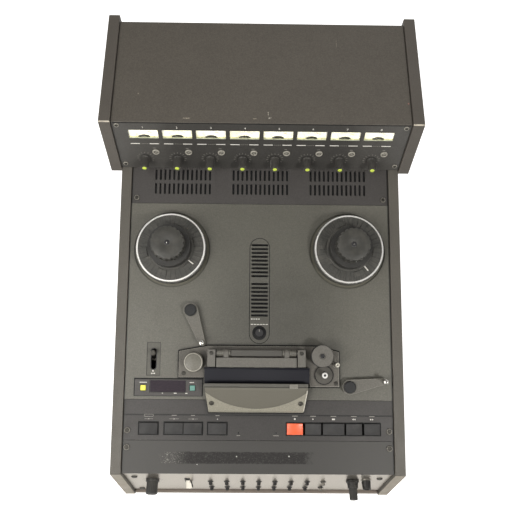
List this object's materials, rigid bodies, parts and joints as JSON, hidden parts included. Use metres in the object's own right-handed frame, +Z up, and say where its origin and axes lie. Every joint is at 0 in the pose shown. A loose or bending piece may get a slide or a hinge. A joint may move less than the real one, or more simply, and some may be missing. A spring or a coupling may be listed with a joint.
{
  "type": "reel-to-reel tape recorder",
  "caption": "Sloping tape transport with hub adapters, head block and push buttons, and a meter bridge with level knobs behind it.",
  "frame": {"origin": "under the middle of the object's bounding box, on the plane its feet stand on", "axes": "+X to the right as the user sees it, +Y to the rear, +Z up; the front panel faces -Y"},
  "size_m": [0.5626, 0.8344, 0.4262],
  "materials": {
    "board_vinyl": "satin vinyl",
    "deck_paint": "fine textured paint",
    "panel_paint": "fine textured paint",
    "silver_panel": "brushed",
    "cast_grey": "satin",
    "black_plastic": "matte",
    "black_rubber": "matte",
    "steel": "satin",
    "chrome": "polished",
    "record_red": "satin",
    "key_yellow": "satin",
    "key_green": "satin",
    "meter_ivory": "matte",
    "card_green": "matte",
    "socket_metal": "matte"
  },
  "bodies": {
    "base": {"deck_side_boards": "board_vinyl", "base_tray": "panel_paint", "vent_panel": "panel_paint", "deck_plate": "deck_paint", "button_panel": "panel_paint", "lower_panel": "panel_paint", "front_panel": "silver_panel", "rubber_feet": "black_rubber", "drive_motors": "steel", "power_supply": "steel", "head_base": "cast_grey", "tape_heads": "steel", "head_cover": "cast_grey", "head_bridge": "deck_paint", "counter_unit": "black_plastic", "amp_cover": "panel_paint", "meter_panel": "panel_paint", "amp_side_boards": "board_vinyl", "amp_base_pan": "panel_paint", "meter_units": "meter_ivory", "channel_cards": "card_green", "rear_sockets": "socket_metal", "phone_jack": "socket_metal", "front_switches": "black_plastic"},
    "left_reel": {"left_reel_table": "black_plastic", "left_hub": "black_plastic"},
    "left_lock": {"left_hub_lock": "black_plastic"},
    "right_reel": {"right_reel_table": "black_plastic", "right_hub": "black_plastic"},
    "right_lock": {"right_hub_lock": "black_plastic"},
    "capstan": {"capstan": "chrome"},
    "pinch_arm": {"pinch_arm": "cast_grey"},
    "pinch_roller": {"pinch_roller": "black_rubber"},
    "guide_roller": {"guide_roller": "cast_grey"},
    "left_tension_arm": {"left_tension_arm": "cast_grey"},
    "right_tension_arm": {"right_tension_arm": "cast_grey"},
    "cue_lever": {"cue_lever": "steel"},
    "head_gate": {"head_gate": "deck_paint"},
    "speed_button": {"speed_button": "black_plastic"},
    "reel_size_button": {"reel_size_button": "black_plastic"},
    "edit_button": {"edit_button": "black_plastic"},
    "locate_button": {"locate_button": "black_plastic"},
    "record_button": {"record_button": "record_red"},
    "play_button": {"play_button": "black_plastic"},
    "stop_button": {"stop_button": "black_plastic"},
    "rewind_button": {"rewind_button": "black_plastic"},
    "forward_button": {"forward_button": "black_plastic"},
    "counter_reset_button": {"counter_reset_button": "key_yellow"},
    "counter_mode_button": {"counter_mode_button": "key_green"},
    "speaker_knob": {"speaker_knob": "black_plastic"},
    "left_front_knob": {"left_front_knob": "black_plastic"},
    "right_front_knob": {"right_front_knob": "black_plastic"},
    "level_knob_1": {"level_knob_1": "black_plastic"},
    "level_knob_2": {"level_knob_2": "black_plastic"},
    "level_knob_3": {"level_knob_3": "black_plastic"},
    "level_knob_4": {"level_knob_4": "black_plastic"},
    "level_knob_5": {"level_knob_5": "black_plastic"},
    "level_knob_6": {"level_knob_6": "black_plastic"},
    "level_knob_7": {"level_knob_7": "black_plastic"},
    "level_knob_8": {"level_knob_8": "black_plastic"}
  },
  "joints": [
    {"name": "left_reel_spin", "type": "hinge", "parent": "base", "child": "left_reel", "pos_m": [-0.163, 0.01894, 0.26399], "axis": [0, -0.2079, 0.9781], "continuous": true},
    {"name": "left_lock_turn", "type": "hinge", "parent": "left_reel", "child": "left_lock", "pos_m": [-0.163, 0.01894, 0.26399], "axis": [0, -0.2079, 0.9781], "range_deg": [0, 60]},
    {"name": "right_reel_spin", "type": "hinge", "parent": "base", "child": "right_reel", "pos_m": [0.163, 0.01894, 0.26399], "axis": [0, -0.2079, 0.9781], "continuous": true},
    {"name": "right_lock_turn", "type": "hinge", "parent": "right_reel", "child": "right_lock", "pos_m": [0.163, 0.01894, 0.26399], "axis": [0, -0.2079, 0.9781], "range_deg": [0, 60]},
    {"name": "capstan_spin", "type": "hinge", "parent": "base", "child": "capstan", "pos_m": [0.1163, -0.20348, 0.21671], "axis": [0, -0.2079, 0.9781], "continuous": true},
    {"name": "pinch_swing", "type": "hinge", "parent": "base", "child": "pinch_arm", "pos_m": [0.131, -0.17473, 0.22283], "axis": [0, -0.2079, 0.9781], "range_deg": [0, 25], "stiffness_Nm_per_rad": 0.3, "springref_deg": -17.19},
    {"name": "pinch_spin", "type": "hinge", "parent": "pinch_arm", "child": "pinch_roller", "pos_m": [0.1118, -0.17052, 0.22372], "axis": [0, -0.2079, 0.9781], "continuous": true},
    {"name": "guide_spin", "type": "hinge", "parent": "base", "child": "guide_roller", "pos_m": [-0.117, -0.18255, 0.22116], "axis": [0, -0.2079, 0.9781], "continuous": true},
    {"name": "left_tension_swing", "type": "hinge", "parent": "base", "child": "left_tension_arm", "pos_m": [-0.1252, -0.09158, 0.2405], "axis": [0, -0.2079, 0.9781], "range_deg": [-40, 0], "stiffness_Nm_per_rad": 0.3, "springref_deg": 17.19},
    {"name": "right_tension_swing", "type": "hinge", "parent": "base", "child": "right_tension_arm", "pos_m": [0.1626, -0.22412, 0.21233], "axis": [0, -0.2079, 0.9781], "range_deg": [0, 45], "stiffness_Nm_per_rad": 0.3, "springref_deg": -17.19},
    {"name": "cue_tilt", "type": "hinge", "parent": "base", "child": "cue_lever", "pos_m": [-0.191, -0.17267, 0.19873], "axis": [1, 0, 0], "range_deg": [-10, 48]},
    {"name": "gate_lift", "type": "hinge", "parent": "base", "child": "head_gate", "pos_m": [-0.005, -0.17099, 0.24611], "axis": [-1, 0, 0], "range_deg": [0, 95]},
    {"name": "speed_press", "type": "slide", "parent": "base", "child": "speed_button", "axis": [0, 0.2079, -0.9781], "range_m": [0, 0.0025], "stiffness_N_per_m": 300, "springref_m": -0.003},
    {"name": "reel_size_press", "type": "slide", "parent": "base", "child": "reel_size_button", "axis": [0, 0.2079, -0.9781], "range_m": [0, 0.0025], "stiffness_N_per_m": 300, "springref_m": -0.003},
    {"name": "edit_press", "type": "slide", "parent": "base", "child": "edit_button", "axis": [0, 0.2079, -0.9781], "range_m": [0, 0.0025], "stiffness_N_per_m": 300, "springref_m": -0.003},
    {"name": "locate_press", "type": "slide", "parent": "base", "child": "locate_button", "axis": [0, 0.2079, -0.9781], "range_m": [0, 0.0025], "stiffness_N_per_m": 300, "springref_m": -0.003},
    {"name": "record_press", "type": "slide", "parent": "base", "child": "record_button", "axis": [0, 0.2079, -0.9781], "range_m": [0, 0.0025], "stiffness_N_per_m": 300, "springref_m": -0.003},
    {"name": "play_press", "type": "slide", "parent": "base", "child": "play_button", "axis": [0, 0.2079, -0.9781], "range_m": [0, 0.0025], "stiffness_N_per_m": 300, "springref_m": -0.003},
    {"name": "stop_press", "type": "slide", "parent": "base", "child": "stop_button", "axis": [0, 0.2079, -0.9781], "range_m": [0, 0.0025], "stiffness_N_per_m": 300, "springref_m": -0.003},
    {"name": "rewind_press", "type": "slide", "parent": "base", "child": "rewind_button", "axis": [0, 0.2079, -0.9781], "range_m": [0, 0.0025], "stiffness_N_per_m": 300, "springref_m": -0.003},
    {"name": "forward_press", "type": "slide", "parent": "base", "child": "forward_button", "axis": [0, 0.2079, -0.9781], "range_m": [0, 0.0025], "stiffness_N_per_m": 300, "springref_m": -0.003},
    {"name": "counter_reset_press", "type": "slide", "parent": "base", "child": "counter_reset_button", "axis": [0, 0.2079, -0.9781], "range_m": [0, 0.0015], "stiffness_N_per_m": 300, "springref_m": -0.003},
    {"name": "counter_mode_press", "type": "slide", "parent": "base", "child": "counter_mode_button", "axis": [0, 0.2079, -0.9781], "range_m": [0, 0.0015], "stiffness_N_per_m": 300, "springref_m": -0.003},
    {"name": "speaker_turn", "type": "hinge", "parent": "base", "child": "speaker_knob", "pos_m": [0, -0.13071, 0.23218], "axis": [0, -0.2079, 0.9781], "range_deg": [-150, 150]},
    {"name": "left_front_turn", "type": "hinge", "parent": "base", "child": "left_front_knob", "pos_m": [-0.1948, -0.38826, 0.11802], "axis": [0, -0.9816, 0.1908], "range_deg": [-150, 150]},
    {"name": "right_front_turn", "type": "hinge", "parent": "base", "child": "right_front_knob", "pos_m": [0.1765, -0.38826, 0.11802], "axis": [0, -0.9816, 0.1908], "range_deg": [-150, 150]},
    {"name": "level_turn_1", "type": "hinge", "parent": "base", "child": "level_knob_1", "pos_m": [-0.2126, 0.17511, 0.32918], "axis": [0, -0.9816, 0.1908], "range_deg": [-300, 0]},
    {"name": "level_turn_2", "type": "hinge", "parent": "base", "child": "level_knob_2", "pos_m": [-0.153, 0.17511, 0.32918], "axis": [0, -0.9816, 0.1908], "range_deg": [-300, 0]},
    {"name": "level_turn_3", "type": "hinge", "parent": "base", "child": "level_knob_3", "pos_m": [-0.0934, 0.17511, 0.32918], "axis": [0, -0.9816, 0.1908], "range_deg": [-300, 0]},
    {"name": "level_turn_4", "type": "hinge", "parent": "base", "child": "level_knob_4", "pos_m": [-0.0338, 0.17511, 0.32918], "axis": [0, -0.9816, 0.1908], "range_deg": [-300, 0]},
    {"name": "level_turn_5", "type": "hinge", "parent": "base", "child": "level_knob_5", "pos_m": [0.0258, 0.17511, 0.32918], "axis": [0, -0.9816, 0.1908], "range_deg": [-228, 72]},
    {"name": "level_turn_6", "type": "hinge", "parent": "base", "child": "level_knob_6", "pos_m": [0.0854, 0.17511, 0.32918], "axis": [0, -0.9816, 0.1908], "range_deg": [-300, 0]},
    {"name": "level_turn_7", "type": "hinge", "parent": "base", "child": "level_knob_7", "pos_m": [0.145, 0.17511, 0.32918], "axis": [0, -0.9816, 0.1908], "range_deg": [-300, 0]},
    {"name": "level_turn_8", "type": "hinge", "parent": "base", "child": "level_knob_8", "pos_m": [0.2046, 0.17511, 0.32918], "axis": [0, -0.9816, 0.1908], "range_deg": [-300, 0]}
  ]
}
